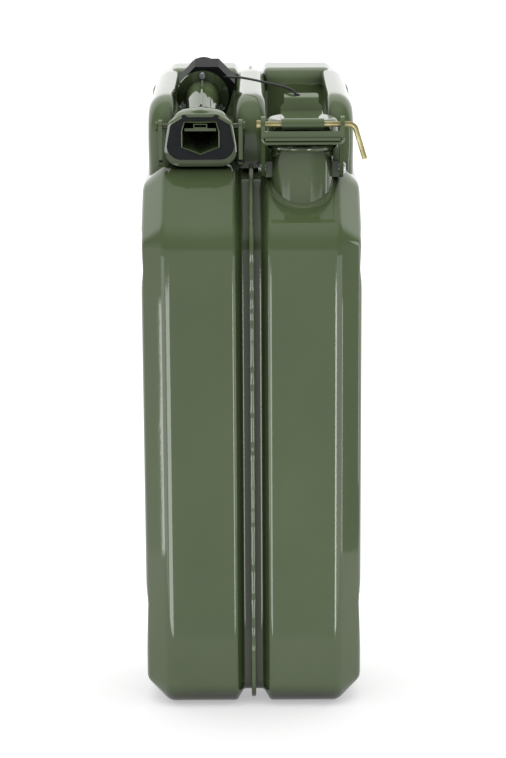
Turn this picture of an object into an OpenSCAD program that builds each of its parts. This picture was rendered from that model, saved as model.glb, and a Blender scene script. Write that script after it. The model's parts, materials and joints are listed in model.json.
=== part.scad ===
// Steel fuel can of the twenty litre pattern: two pressed half shells welded in a sunk seam,
// three carrying bars, a pin locked lever cap on a round neck and a pouring spout that lies
// on the other shoulder, tied to the cap by a thin cord.
// Millimetres. +X is right as seen from the narrow front, +Y goes to the back, +Z is up.
// The origin is the centre of the flat base.

/* [Body] */
// Width across the two side panels
body_width = 168; // [156:1:184]
// Length from the front face to the back face
body_length = 346; // [336:1:366]
// Height to the top of the air chamber
body_height = 470; // [430:1:510]
// How far the flat deck lies below the chamber's top
deck_drop = 49; // [46:1:53]
// How far the front face's upper end lies below the deck
shoulder_drop = 46; // [40:1:52]
// How far the sloping shoulder runs back to the deck
shoulder_run = 63; // [58:1:66]
// Length of the raised air chamber at the back
chamber_length = 76; // [70:1:84]
// Thickness of the pressed sheet
sheet = 1; // [0.8:0.1:1.8]
// Radius of the lower front and back edges
base_radius = 22; // [18:1:26]
// Radius of the chamber's back edge
chamber_radius = 26; // [18:1:30]
// Width of the slanted edge between narrow faces and side panels
edge_slant = 18; // [14:1:20]
// Radius at both ends of the slanted edge
edge_radius = 10; // [6:1:12]

/* [Seam and panels] */
// Depth of the channel that the seam lies in
channel_depth = 9; // [7:0.5:10]
// Half width of the channel's flat floor
channel_floor = 6; // [5:0.5:8]
// Depth of the seam flange's edge below the faces
flange_drop = 3.5; // [2.5:0.5:4.5]
// Thickness of each seam flange
flange_sheet = 1.2; // [0.8:0.1:1.6]
// Height of the weld bead on the seam flanges
bead_rise = 1.1; // [0.6:0.1:1.5]
// Depth of the pressed cross on each side panel
cross_depth = 4.5; // [2.5:0.5:6]
// Width of the cross's arms at the floor
cross_floor = 22; // [16:1:28]
// Slope run on each side of an arm
cross_slope = 8; // [5:1:12]

/* [Carrying bars] */
// Height of a bar's section
bar_height = 18; // [15:1:20]
// Width of the centre bar
centre_bar_width = 24; // [20:1:30]
// Clear width between the centre bar and a side bar
bar_space = 48; // [46:0.5:50]
// Distance of the side bars from the can's side
side_bar_inset = 4; // [3:0.5:6]
// How far the bars lie below the chamber's top
bar_drop = 1; // [0.5:0.5:3]
// Inner radius of the bend from leg to bar
bar_bend = 14; // [10:1:18]
// Distance from the neck's centre to the middle of the legs
leg_setback = 40; // [39:1:44]
// Widening of the centre bar's leg on each side at its foot
centre_flare = 9; // [5:0.5:10]
// Widening of a side bar's leg at its foot
side_flare = 7; // [4:0.5:9]
// Thickening of a leg at its foot
foot_thick = 5; // [3:0.5:7]

/* [Neck] */
// Distance of the neck's centre from the seam
neck_x = 39; // [38:0.5:41]
// Distance of the neck's centre from the front face
neck_setback = 49; // [47:0.5:51]
// Outside diameter of the neck
neck_diameter = 47; // [44:0.5:48]
// Thickness of the neck's wall
neck_wall = 2.5; // [1.5:0.1:3.5]
// Height of the neck's lip above the deck
neck_rise = 19; // [17:0.5:22]
// Diameter of the lip
lip_diameter = 55.2; // [53:0.2:55.6]
// Height of the lip's rolled edge
lip_height = 5; // [3.5:0.5:6]
// Outside diameter of the air pipe inside the neck
air_pipe_diameter = 8; // [6:0.5:9]

/* [Cap] */
// Diameter of the lid
lid_diameter = 54.4; // [52:0.2:55]
// Thickness of the lid's gasket
lid_gasket = 1.4; // [1:0.1:2]
// Height of the lid above its gasket
lid_height = 16.6; // [15.5:0.1:17]
// Distance of the lock pin in front of the neck's centre
pin_forward = 28; // [27.5:0.1:29]
// Diameter of the lock pin
pin_diameter = 4.2; // [3.6:0.1:4.6]
// Diameter of the lever's rolled barrel
barrel_diameter = 8.8; // [7.6:0.1:9]
// Length of the rolled barrel
barrel_length = 32; // [26:1:38]
// Thickness of the lever plate
lever_sheet = 2.5; // [1.6:0.1:3]
// Width of the lever's tab
tab_width = 26.5; // [22:0.5:30]
// Length of the tab along its slope
tab_length = 11; // [9:0.5:13]
// Length of the tab's bent back lip
tab_lip = 7.2; // [6.6:0.2:9]
// Slope of the tab
tab_slope = 62; // [50:1:75]
// Thickness of the bail's arms
arm_sheet = 3; // [2:0.1:3.4]
// Distance of the trunnions below the lip
trunnion_drop = 21; // [19:0.5:22]
// Diameter of the trunnion rivets
trunnion_diameter = 6; // [5:0.2:7]
// Diameter of the bail's wire
wire_diameter = 3.1; // [2.4:0.1:3.4]
// Length of the lock pin's bent leg
pin_leg = 23; // [18:0.5:25]

/* [Spout] */
// Distance of the spout's mouth from the front face
spout_setback = 53; // [50:0.5:56]
// Rise of the spout's axis at the mouth above the deck
spout_rise = 20.8; // [20.6:0.1:24]
// Slope of the spout
spout_tilt = 10; // [8:0.5:11]
// Depth of the collar's straight band
collar_band = 10; // [8:0.5:11]
// Distance from the mouth to the end of the collar's taper
collar_length = 40; // [36:1:46]
// Thickness of the collar's and the tube's wall
spout_wall = 1.5; // [1:0.1:2]
// Outside diameter of the spout's tube
tube_diameter = 27; // [25:0.5:28]
// Distance from the mouth to the flange
flange_at = 108; // [104:1:112]
// Diameter of the flange
flange_diameter = 42; // [40:0.5:42]
// Thickness of the flange
flange_thick = 2.5; // [2:0.1:3.5]
// Radius of the flange's screw circle
screw_circle = 17.4; // [16.8:0.1:17.6]
// Diameter of the screw heads
screw_head = 6.2; // [5:0.1:6.4]
// Length of the valve housing
housing_length = 24; // [20:1:28]
// Outside diameter of the outlet pipe
outlet_diameter = 18; // [16:0.5:19]
// Length of the outlet pipe behind the housing
outlet_length = 42; // [38:1:46]
// Outside diameter of the sliding sleeve
sleeve_diameter = 28; // [26:0.5:29]
// Length of the sliding sleeve
sleeve_length = 22; // [18:0.5:26]
// Travel of the sliding sleeve
sleeve_travel = 8; // [6:0.5:9]
// Thickness of the hooked links
link_sheet = 3; // [2:0.1:3.5]
// Distance between a link's pivot and its hook
link_length = 26; // [22:0.5:27]
// Diameter of the link pins
link_pin = 4.4; // [3.6:0.1:5]

/* [Fits] */
// Radial clearance of a running pin
running_fit = 0.05; // [0.02:0.01:0.1]
// Gap between pieces that pass or rest on each other
gap = 0.4; // [0.3:0.05:0.5]
// Diameter of the tie cord
cord_diameter = 1.9; // [1.4:0.1:2.2]

/* [Hidden] */
$fn = 48;
paint = [0.36, 0.42, 0.30];
rubber = [0.13, 0.14, 0.15];
zinc = [0.80, 0.74, 0.54];
bright = [0.75, 0.76, 0.77];

half_width = body_width / 2;
deck_height = body_height - deck_drop;
shoulder_height = deck_height - shoulder_drop;
front_y = -body_length / 2;
back_y = body_length / 2;
chamber_y = back_y - chamber_length;
far = 400;

// Corners of the can's side view from the lower front edge on, and the radius at each
side_corners = [
    [front_y, 0], [back_y, 0], [back_y, body_height], [chamber_y, body_height],
    [chamber_y, deck_height], [front_y + shoulder_run, deck_height], [front_y, shoulder_height]
];
chamber_front_radius = 14;
chamber_foot_radius = 12;
deck_radius = 40;
shoulder_radius = 30;
side_radii = [
    base_radius, base_radius, chamber_radius, chamber_front_radius,
    chamber_foot_radius, deck_radius, shoulder_radius
];
least_radius = 3;
corner_steps = 5;

function unit(v) = v / norm(v);
function left_of(v) = [-v[1], v[0]];

// Arc that rounds one corner of the side view after the outline has moved in by inset
function corner_arc(before, at, after, radius, inset) =
    let (
        into = unit(at - before),
        out = unit(after - at),
        bend = into[0] * out[1] - into[1] * out[0],
        turn = atan2(bend, into * out),
        side = sign(bend),
        miter = (left_of(into) + left_of(out)) / (1 + left_of(into) * left_of(out)),
        r = side > 0 ? max(radius - inset, least_radius) : radius + inset,
        centre = at + miter * (inset + side * r),
        start = atan2(-side * left_of(into)[1], -side * left_of(into)[0])
    )
    [for (k = [0:corner_steps])
        centre + r * [cos(start + turn * k / corner_steps), sin(start + turn * k / corner_steps)]];

// Side view of the can, moved in by inset
function outline(inset) =
    let (n = len(side_corners))
    [for (i = [0:n - 1])
        each corner_arc(side_corners[(i + n - 1) % n], side_corners[i], side_corners[(i + 1) % n],
            side_radii[i], inset)];

// Arc of the cross section, as pairs of distance from the seam and inset
function section_arc(x, inset, radius, from, to, steps) =
    [for (k = [0:steps])
        let (a = from + (to - from) * k / steps) [x + radius * cos(a), inset + radius * sin(a)]];

outward = 270;
slant_turn = 45;
channel_slope = 60;
channel_low_radius = 3;
channel_high_radius = 4;
channel_top = channel_floor
    + channel_low_radius * sin(channel_slope)
    + (channel_depth - (channel_low_radius + channel_high_radius) * (1 - cos(channel_slope)))
        / tan(channel_slope)
    + channel_high_radius * sin(channel_slope);
slant_start = half_width - edge_slant - edge_radius * tan(slant_turn / 2);
slant_end = edge_slant + edge_radius * tan(slant_turn / 2);

// Slanted edge between a narrow face and the side panel
function slant(depth) = concat(
    section_arc(slant_start, edge_radius, edge_radius - depth, outward, outward + slant_turn, 3),
    section_arc(half_width - edge_radius, slant_end, edge_radius - depth,
        outward + slant_turn, outward + 2 * slant_turn, 3)
);

// Cross section from the channel's floor to the side panel, depth below the outer face
function section(depth) = concat(
    section_arc(channel_floor, channel_depth - channel_low_radius,
        channel_low_radius + depth, outward - 180, outward - 180 - channel_slope, 3),
    section_arc(channel_top, channel_high_radius,
        channel_high_radius - depth, outward - channel_slope, outward, 3),
    slant(depth)
);

// Triangles between rings of n points each, from the first ring to the last
function side_faces(n, last) =
    [for (i = [0:last - 1], j = [0:n - 1])
        let (k = (j + 1) % n)
        each [
            [(i + 1) * n + j, (i + 1) * n + k, i * n + k],
            [(i + 1) * n + j, i * n + k, i * n + j]
        ]];

// Closed skin over rings of equal count, with plain ends; each ring is a list of points
module skin(rings) {
    n = len(rings[0]);
    last = len(rings) - 1;
    polyhedron(
        points = [for (ring = rings) each ring],
        faces = concat(
            [[for (j = [0:n - 1]) j]],
            side_faces(n, last),
            [[for (j = [n - 1:-1:0]) last * n + j]]
        ),
        convexity = 10
    );
}

// Half of the can as a solid, from pairs of distance from the seam and inset.
// Each end is a fan of triangles round a hub below the air chamber, which sees every edge.
module half_solid(stations) {
    rings = [for (s = stations) [for (p = outline(s[1])) [s[0], p[0], p[1]]]];
    n = len(rings[0]);
    last = len(rings) - 1;
    hub = [(chamber_y + back_y) / 2, deck_height / 2];
    first_hub = n * len(rings);
    polyhedron(
        points = concat([for (ring = rings) each ring],
            [for (s = [stations[0], stations[last]]) [s[0], hub[0], hub[1]]]),
        faces = concat(
            [for (j = [0:n - 1]) [first_hub, j, (j + 1) % n]],
            side_faces(n, last),
            [for (j = [0:n - 1]) [first_hub + 1, last * n + (j + 1) % n, last * n + j]]
        ),
        convexity = 10
    );
}

module outer_half(depth = 0) {
    half_solid(concat(
        [[0, flange_drop + depth], [flange_sheet - depth, flange_drop + depth],
            [flange_sheet - depth, channel_depth + depth]],
        section(depth)
    ));
}

module inner_half() {
    half_solid(concat([[-1, channel_depth + sheet]], section(sheet)));
}

cross_centre_z = deck_height / 2 + 4;
cross_reach_y = body_length / 2 - 27;
cross_reach_z = deck_height / 3;

// Two crossing bars of sloped section that press the cross into the right side panel
module cross_bars(depth) {
    low = half_width - cross_depth - depth;
    half = cross_floor / 2 + depth;
    reach = norm([cross_reach_y, cross_reach_z]);
    for (side = [-1, 1])
        translate([0, 0, cross_centre_z])
            rotate([side * atan2(cross_reach_z, cross_reach_y), 0, 0])
                rotate([90, 0, 0])
                    linear_extrude(height = 2 * (reach + depth), center = true)
                        polygon([
                            [low, -half],
                            [half_width + sheet, -half - cross_slope * (1 + (sheet + depth) / cross_depth)],
                            [half_width + sheet, half + cross_slope * (1 + (sheet + depth) / cross_depth)],
                            [low, half]
                        ]);
}

module half_shell() {
    difference() {
        outer_half();
        cross_bars(0);
        difference() {
            inner_half();
            cross_bars(sheet);
        }
    }
}

module left_shell() {
    color(paint) mirror([1, 0, 0]) half_shell();
}

module right_shell() {
    color(paint) difference() {
        half_shell();
        neck_place() translate([0, 0, neck_foot - 1]) cylinder(d = neck_diameter, h = far);
    }
}

// Bead that joins the two flanges all round
module seam_weld() {
    crown = flange_drop - bead_rise;
    ring = [[-flange_sheet * 1.5, flange_drop], [-flange_sheet, crown],
        [flange_sheet, crown], [flange_sheet * 1.5, flange_drop]];
    n = len(outline(0));
    m = len(ring);
    color(paint) polyhedron(
        points = [for (s = ring) each [for (p = outline(s[1])) [s[0], p[0], p[1]]]],
        faces = [for (i = [0:m - 1], j = [0:n - 1])
            let (h = (i + 1) % m, k = (j + 1) % n)
            each [[h * n + j, h * n + k, i * n + k], [h * n + j, i * n + k, i * n + j]]],
        convexity = 10
    );
}

bar_z = body_height - bar_drop - bar_height / 2;
bar_centre_bend = bar_bend + bar_height / 2;
leg_y = front_y + neck_setback + leg_setback;
side_bar_out = half_width - side_bar_inset;
side_bar_in = centre_bar_width / 2 + bar_space;
side_bar_width = side_bar_out - side_bar_in;
foot_rise = min(16, bar_z - bar_centre_bend - deck_height);
flare_top = bar_z - 3;
flare_power = 1.3;
foot_sink = 0.7;
bend_steps = 6;
bar_tail = 22;
bar_dive = 12;
centre_bar_radius = 9;
side_bar_radius = 4;
bar_low_radius = 3;
side_bar_round = min(edge_slant - side_bar_inset, bar_height - bar_low_radius - 1,
    side_bar_width - side_bar_radius - 1);

// Widening of a leg at a height, from none below the bar to the whole flare at the deck
function widening(z) = pow(max(0, min(1, (flare_top - z) / (flare_top - deck_height))), flare_power);

// Stations of a bar's middle line: place, direction, widening and thickening
function bar_path(foot_z, end_y) = concat(
    [[leg_y, foot_z, 90, 1, 1]],
    [for (k = [0:3])
        let (z = deck_height - foot_sink + foot_rise * k / 3)
        [leg_y, z, 90, widening(z), pow(1 - k / 3, 2)]],
    [for (k = [0:bend_steps])
        let (a = 180 - 90 * k / bend_steps, z = bar_z - bar_centre_bend + bar_centre_bend * sin(a))
        [leg_y + bar_centre_bend + bar_centre_bend * cos(a), z, a - 90, widening(z), 0]],
    [[end_y, bar_z, 0, 0, 0], [end_y + bar_tail, bar_z - bar_dive, 0, 0, 0]]
);

// Rounded bar section between two sides; the upper corners have their own radii
function bar_section(from, to, radius_from, radius_to) =
    let (h = bar_height / 2, low = bar_low_radius)
    concat(
        [for (k = [0:4]) [from + radius_from - radius_from * cos(k * 22.5),
            h - radius_from + radius_from * sin(k * 22.5)]],
        [for (k = [0:4]) [to - radius_to + radius_to * sin(k * 22.5),
            h - radius_to + radius_to * cos(k * 22.5)]],
        [for (k = [0:3]) [to - low + low * cos(k * 30), low - h - low * sin(k * 30)]],
        [for (k = [0:3]) [from + low - low * sin(k * 30), low - h - low * cos(k * 30)]]
    );

// Bar swept along its path; flare_from and flare_to widen the foot on each side
module bar_sweep(path, shape, flare_from, flare_to) {
    middle = (shape[0][0] + shape[9][0]) / 2;
    skin([for (s = path) [for (p = shape)
        let (
            x = p[0] + s[3] * (p[0] < middle ? -flare_from : flare_to),
            n = p[1] * (1 + s[4] * foot_thick / bar_height)
        )
        [x, s[0] - n * sin(s[2]), s[1] + n * cos(s[2])]]]);
}

bar_end = chamber_y + 0.8 * chamber_front_radius;

// Front corner of the air chamber at one inset, as a ring
function chamber_ring(inset) = concat(
    corner_arc(side_corners[2], side_corners[3], side_corners[4], side_radii[3], inset),
    [[chamber_y + inset, deck_height], [back_y, deck_height], [back_y, body_height - inset]]
);

side_edge = concat([[channel_top, 0]], slant(0));

// Slanted edge of the air chamber where a side bar meets it
module chamber_seat() {
    skin([for (s = side_edge) [for (p = chamber_ring(s[1])) [s[0], p[0], p[1]]]]);
}

// Slanted edge of the deck under a side bar's leg
module deck_seat() {
    translate([0, leg_y + bar_height, 0]) rotate([90, 0, 0]) linear_extrude(height = 2 * bar_height)
        polygon(concat([[channel_top, 0], [half_width, 0]],
            [for (i = [len(side_edge) - 1:-1:0]) [side_edge[i][0], deck_height - side_edge[i][1]]]));
}

module side_bar() {
    difference() {
        bar_sweep(bar_path(deck_height - edge_slant - edge_radius, bar_end),
            bar_section(side_bar_in, side_bar_out, side_bar_radius, side_bar_round),
            side_flare, 0);
        chamber_seat();
        deck_seat();
    }
}

module left_bar() {
    color(paint) mirror([1, 0, 0]) side_bar();
}

module right_bar() {
    color(paint) side_bar();
}

module centre_bar() {
    half = centre_bar_width / 2;
    color(paint) difference() {
        bar_sweep(bar_path(deck_height - 1, bar_end),
            bar_section(-half, half, centre_bar_radius, centre_bar_radius),
            centre_flare, centre_flare);
        side_slab(0);
    }
}

neck_y = front_y + neck_setback;
neck_radius = neck_diameter / 2;
bore_radius = neck_radius - neck_wall;
lip_top = deck_height + neck_rise;
lip_radius = lip_diameter / 2;
neck_foot = shoulder_height + 8;
catch_radius = 3.4;
catch_reach = 2.6;

module neck_place() {
    translate([neck_x, neck_y, 0]) children();
}

// Wall of the neck in section, with the rolled lip at its top
neck_profile = concat(
    [[bore_radius, neck_foot], [neck_radius, neck_foot], [neck_radius, lip_top - lip_height]],
    [for (k = [-4:4]) [lip_radius - lip_height / 2 * (1 - cos(k * 22.5)),
        lip_top - lip_height / 2 * (1 - sin(k * 22.5))]],
    [[bore_radius, lip_top]]
);

// Straight neck with a rolled lip and two small catches under its front
module filler_neck() {
    color(paint) neck_place() union() {
        rotate_extrude() polygon(neck_profile);
        for (side = [-1, 1])
            rotate([0, 0, 270 + side * 57])
                translate([neck_radius - neck_wall / 2, 0, lip_top - lip_height - catch_radius / 2])
                    rotate([0, 90, 0]) cylinder(r = catch_radius, h = neck_wall / 2 + catch_reach);
    }
}

weld_width = 3.2;
weld_rise = 2.2;

// Side view of the can, moved in by inset, as a slab across the whole width
module side_slab(inset) {
    rotate([90, 0, 90]) linear_extrude(height = body_width, center = true) polygon(outline(inset));
}

// Bead that follows the shoulder round the neck
module neck_weld() {
    color(paint) difference() {
        intersection() {
            neck_place() translate([0, 0, neck_foot])
                cylinder(r = neck_radius + weld_width, h = lip_top - neck_foot);
            side_slab(-weld_rise);
        }
        side_slab(0);
        neck_place() translate([0, 0, -far / 2]) cylinder(r = neck_radius, h = 3 * far);
    }
}

air_pipe_bend = 8;
air_pipe_run = 70;

// Air pipe from the back of the neck towards the air chamber
module air_pipe() {
    r = air_pipe_diameter / 2;
    wall = 1;
    top = lip_top - 4;
    low = neck_foot - air_pipe_bend - gap;
    module core(radius, over) {
        translate([0, 0, low + air_pipe_bend]) cylinder(r = radius, h = top - low - air_pipe_bend + over);
        translate([0, air_pipe_bend, low + air_pipe_bend])
            rotate([0, 90, 0]) rotate_extrude(angle = -90)
                translate([air_pipe_bend, 0]) circle(r = radius);
        translate([0, air_pipe_bend, low]) rotate([-90, 0, 0]) cylinder(r = radius, h = air_pipe_run + over);
    }
    color(bright) neck_place() translate([0, bore_radius - r - running_fit, 0]) difference() {
        core(r, 0);
        core(r - wall, 1);
    }
}

arm_in = lip_radius + gap + 0.2;
arm_out = arm_in + arm_sheet;
trunnion_z = lip_top - trunnion_drop;
trunnion_radius = trunnion_diameter / 2;
pin_y = neck_y - pin_forward;
lid_top = lip_top + gap / 2 + lid_gasket + lid_height;
barrel_radius = barrel_diameter / 2;
pin_z = lid_top + gap / 2 + lever_sheet - barrel_radius;
pin_radius = pin_diameter / 2;

// Square bosses on both sides of the neck that carry the bail
module neck_lugs() {
    boss_y = 10;
    boss_z = 12;
    color(paint) neck_place() difference() {
        for (side = [-1, 1])
            translate([side * (neck_radius + arm_in - gap) / 2, 0, trunnion_z])
                cube([arm_in - gap - neck_radius + 8, boss_y, boss_z], center = true);
        translate([0, 0, -far / 2]) cylinder(r = neck_radius, h = 3 * far);
        for (side = [0, 1])
            mirror([side, 0, 0])
                translate([arm_in - gap, -far / 2, 0]) cube([far, far, 2 * far]);
        translate([-neck_x, -neck_y, 0]) side_slab(-weld_rise - gap / 4);
    }
}

rivet_head = 1.8;

// Rivets that the bail's arms turn on
module trunnion_rivets() {
    color(bright) neck_place() for (side = [0, 1])
        mirror([side, 0, 0]) translate([arm_in - gap, 0, trunnion_z]) rotate([0, 90, 0]) {
            cylinder(r = trunnion_radius, h = arm_sheet + 2 * gap);
            translate([0, 0, arm_sheet + 2 * gap])
                cylinder(r1 = trunnion_radius + 2, r2 = trunnion_radius, h = rivet_head);
        }
}

// Flat link in the YZ plane between two points, with round ends
module arm_plate(from, to, radius_from, radius_to, thick) {
    d = unit(to - from);
    n = left_of(d);
    rotate([90, 0, 90]) linear_extrude(height = thick) {
        translate(from) circle(r = radius_from);
        translate(to) circle(r = radius_to);
        polygon([from + n * radius_from, from - n * radius_from, to - n * radius_to, to + n * radius_to]);
    }
}

ear_radius = 6;
trunnion_boss = 7;
bridge_back = barrel_radius + gap;
bridge_sheet = 2;
bridge_low = pin_z - 11.5;
bridge_high = pin_z - 4.5;
cheek_low = bridge_low + 2;

// Bail: two arms with ears for the lock pin and a creased bridge in front of the lid
module bail_frame() {
    color(paint) difference() {
        union() {
            for (side = [0, 1])
                translate([neck_x, 0, 0]) mirror([side, 0, 0]) translate([arm_in, 0, 0]) {
                    arm_plate([neck_y, trunnion_z], [pin_y, pin_z], trunnion_boss, ear_radius, arm_sheet);
                    translate([0, pin_y - bridge_back - bridge_sheet, cheek_low])
                        cube([arm_sheet, bridge_back + bridge_sheet, pin_z - cheek_low]);
                }
            translate([neck_x - arm_in, pin_y - bridge_back - bridge_sheet, bridge_low])
                cube([2 * arm_in, bridge_sheet, bridge_high - bridge_low]);
            translate([neck_x - arm_in, pin_y - bridge_back - bridge_sheet - 1, bridge_low])
                cube([2 * arm_in, bridge_sheet, 2]);
        }
        translate([neck_x - far / 2, pin_y, pin_z]) rotate([0, 90, 0])
            cylinder(r = pin_radius + running_fit, h = far);
        translate([neck_x - far / 2, neck_y, trunnion_z]) rotate([0, 90, 0])
            cylinder(r = trunnion_radius + running_fit, h = far);
    }
}

wire_radius = wire_diameter / 2;
wire_bend = 3;
wire_z = cheek_low - wire_bend - 0.8;
wire_y = pin_y - bridge_back - bridge_sheet / 2;
wire_half = arm_in + wire_radius + gap / 4;

// Round bar under the bridge, bent up to the cheeks at both ends
module bail_wire() {
    color(paint) translate([neck_x, wire_y, wire_z]) {
        rotate([0, 90, 0]) cylinder(r = wire_radius, h = 2 * (wire_half - wire_bend), center = true);
        for (side = [0, 1])
            mirror([side, 0, 0]) {
                translate([wire_half - wire_bend, 0, wire_bend]) rotate([90, 0, 0])
                    rotate([0, 0, -90]) rotate_extrude(angle = 90)
                        translate([wire_bend, 0]) circle(r = wire_radius);
                translate([wire_half, 0, wire_bend])
                    cylinder(r = wire_radius, h = cheek_low - wire_z - wire_bend);
            }
    }
}

lever_run = 49;
tab_hole = 5;
tab_hole_side = 3.4;
lip_slope = 15;
tab_foot_flare = 3;
lever_low = pin_z + barrel_radius - lever_sheet;
tab_foot_y = pin_y + lever_run;
tab_top_y = tab_foot_y + tab_length * cos(tab_slope);
tab_top_z = lever_low + tab_length * sin(tab_slope);

// Side view of the lever's sheet: the plate, the raised tab and the bent back lip
module lever_profile() {
    steps = 4;
    spare = 3;
    bend = (tab_slope - lip_slope) / steps;
    tab_top = [tab_top_y, tab_top_z];
    lip_end = tab_top + (tab_lip + spare) * [cos(lip_slope), sin(lip_slope)];
    polygon(concat(
        [[pin_y, lever_low], [tab_foot_y, lever_low], tab_top, lip_end],
        [lip_end + lever_sheet * [-sin(lip_slope), cos(lip_slope)]],
        [for (k = [0:steps])
            tab_top + lever_sheet * [-sin(lip_slope + k * bend), cos(lip_slope + k * bend)]],
        [[tab_foot_y - lever_sheet * tan(tab_slope / 2), lever_low + lever_sheet]],
        [[pin_y, lever_low + lever_sheet]]));
}

// Plan of the lever's sheet: as wide as the barrel, then as wide as the tab, with round corners
module lever_plan() {
    half = tab_width / 2;
    root = barrel_length / 2;
    corner = 3;
    steps = 5;
    waist_y = tab_foot_y + tab_foot_flare * cos(tab_slope);
    corner_y = tab_top_y + tab_lip * cos(lip_slope) - corner;
    polygon(concat(
        [[-root, pin_y - 1], [root, pin_y - 1], [root, tab_foot_y], [half, waist_y]],
        [for (k = [0:steps])
            [half - corner + corner * cos(k * 90 / steps), corner_y + corner * sin(k * 90 / steps)]],
        [for (k = [steps:-1:0])
            [corner - half - corner * cos(k * 90 / steps), corner_y + corner * sin(k * 90 / steps)]],
        [[-half, waist_y], [-root, tab_foot_y]]));
}

// Lever: a barrel rolled round the lock pin, a flat plate and a raised tab with a bent back lip
module cap_lever() {
    root = barrel_length / 2;
    color(paint) difference() {
        union() {
            translate([neck_x - root, pin_y, pin_z]) rotate([0, 90, 0])
                cylinder(r = barrel_radius, h = barrel_length);
            intersection() {
                translate([neck_x - root - 1, 0, 0]) rotate([90, 0, 90])
                    linear_extrude(height = barrel_length + 2) lever_profile();
                translate([neck_x, 0, 0]) linear_extrude(height = 2 * far) lever_plan();
            }
        }
        translate([neck_x - far / 2, pin_y, pin_z]) rotate([0, 90, 0])
            cylinder(r = pin_radius + running_fit, h = far);
        translate([neck_x, tab_top_y, tab_top_z]) rotate([lip_slope, 0, 0])
            translate([-tab_hole_side, tab_lip / 2, -1]) cylinder(d = tab_hole, h = lever_sheet + 2);
        neck_place() cylinder(r = cap_rivet_radius, h = 2 * far);
    }
}

cap_rivet_radius = 2.5;
lid_radius = lid_diameter / 2;
lid_low = lip_top + gap / 2 + lid_gasket;
lid_recess = 19;
lid_recess_depth = 3.5;

// Thick pressed lid with a rounded upper rim and a groove for the barrel
module cap_lid() {
    rim = 4;
    color(paint) difference() {
        neck_place() translate([0, 0, lid_low]) rotate_extrude() difference() {
            union() {
                square([lid_radius - rim, lid_height]);
                square([lid_radius, lid_height - rim]);
                translate([lid_radius - rim, lid_height - rim]) circle(r = rim);
            }
            translate([0, -1]) square([lid_recess, lid_recess_depth + 1]);
            translate([-2 * rim, -far / 2]) square([2 * rim, far]);
        }
        translate([neck_x - far / 2, pin_y, pin_z]) rotate([0, 90, 0])
            cylinder(r = barrel_radius + gap, h = far);
        neck_place() cylinder(r = cap_rivet_radius, h = 2 * far);
    }
}

module cap_gasket() {
    color(rubber) neck_place() translate([0, 0, lip_top + gap / 2]) difference() {
        cylinder(r = lid_radius - 0.5, h = lid_gasket);
        translate([0, 0, -1]) cylinder(r = lid_recess + 1, h = lid_gasket + 2);
    }
}

// Rivet that holds the lid under the lever, ground flush above
module cap_rivet() {
    head = 4.5;
    color(paint) neck_place() {
        translate([0, 0, lid_low + lid_recess_depth])
            cylinder(r = cap_rivet_radius, h = lever_low + lever_sheet - lid_low - lid_recess_depth);
        translate([0, 0, lid_low + lid_recess_depth - 1.5]) cylinder(r = head, h = 1.5);
    }
}

pin_bend = 6;
pin_turn = 73;
pin_overlap = 1;
pin_leg_step = 0.15;
pin_head_radius = 3.2;
pin_head = 3;
pin_left = -arm_out - gap;
pin_bend_x = arm_out + 3;

// Lock pin: a swaged head, a straight rod and a leg bent down at the right end
module lock_pin() {
    color(zinc) translate([neck_x, pin_y, pin_z]) {
        translate([pin_left - pin_head, 0, 0]) rotate([0, 90, 0]) cylinder(r = pin_head_radius, h = pin_head);
        translate([pin_left, 0, 0]) rotate([0, 90, 0]) cylinder(r = pin_radius, h = pin_bend_x - pin_left);
        translate([pin_bend_x, 0, -pin_bend]) rotate([-90, 0, 0]) rotate([0, 0, -90])
            rotate_extrude(angle = pin_turn) translate([pin_bend, 0]) circle(r = pin_radius);
        translate([pin_bend_x, 0, -pin_bend]) rotate([0, pin_turn - 90, 0]) translate([pin_bend, 0, -pin_leg])
            cylinder(r = pin_radius - pin_leg_step, h = pin_leg + pin_overlap);
    }
}

spout_shift = 2.5;
spout_x = -(centre_bar_width / 2 + side_bar_in) / 2 - spout_shift;
spout_y = front_y + spout_setback;
spout_z = deck_height + spout_rise;
tube_radius = tube_diameter / 2;

// Frame of the spout: the mouth at the origin, the axis along +Y
module spout_place() {
    translate([spout_x, spout_y, spout_z]) rotate([spout_tilt, 0, 0]) children();
}

mouth_low = [14.7, -6.2];
mouth_middle = [16.3, 4.5];
mouth_high = [11, 12.7];
mouth_low_radius = 10.8;
mouth_middle_radius = 6.2;
mouth_high_radius = 4;
collar_lip = 2.5;
collar_chin = 3.4;

// Rounded outline of the mouth, wider at the foot; grow moves it out
module mouth_outline(grow, chin) {
    hull() for (side = [-1, 1]) {
        translate([side * mouth_low[0], mouth_low[1] - chin]) circle(r = mouth_low_radius + grow, $fn = 32);
        translate([side * mouth_middle[0], mouth_middle[1]]) circle(r = mouth_middle_radius + grow, $fn = 32);
        translate([side * mouth_high[0], mouth_high[1]]) circle(r = mouth_high_radius + grow, $fn = 32);
    }
}

// Slab with a mouth outline, standing across the spout's axis
module mouth_slab(at, depth, grow, chin) {
    translate([0, at + depth, 0]) rotate([90, 0, 0]) linear_extrude(height = depth) mouth_outline(grow, chin);
}

module axis_cylinder(at, radius, length) {
    translate([0, at, 0]) rotate([-90, 0, 0]) cylinder(r = radius, h = length);
}

module collar_solid() {
    mouth_slab(0, collar_band, collar_lip, collar_chin);
    hull() {
        mouth_slab(collar_band, 0.1, collar_lip, collar_chin);
        axis_cylinder(collar_length - 0.1, tube_radius, 0.1, $fn = 32);
    }
}

opening = [[-12.5, 13.6], [12.5, 13.6], [14.7, 5.5], [14.7, -7], [0, -13], [-14.7, -7], [-14.7, 5.5]];
gasket_depth = 3;

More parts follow.
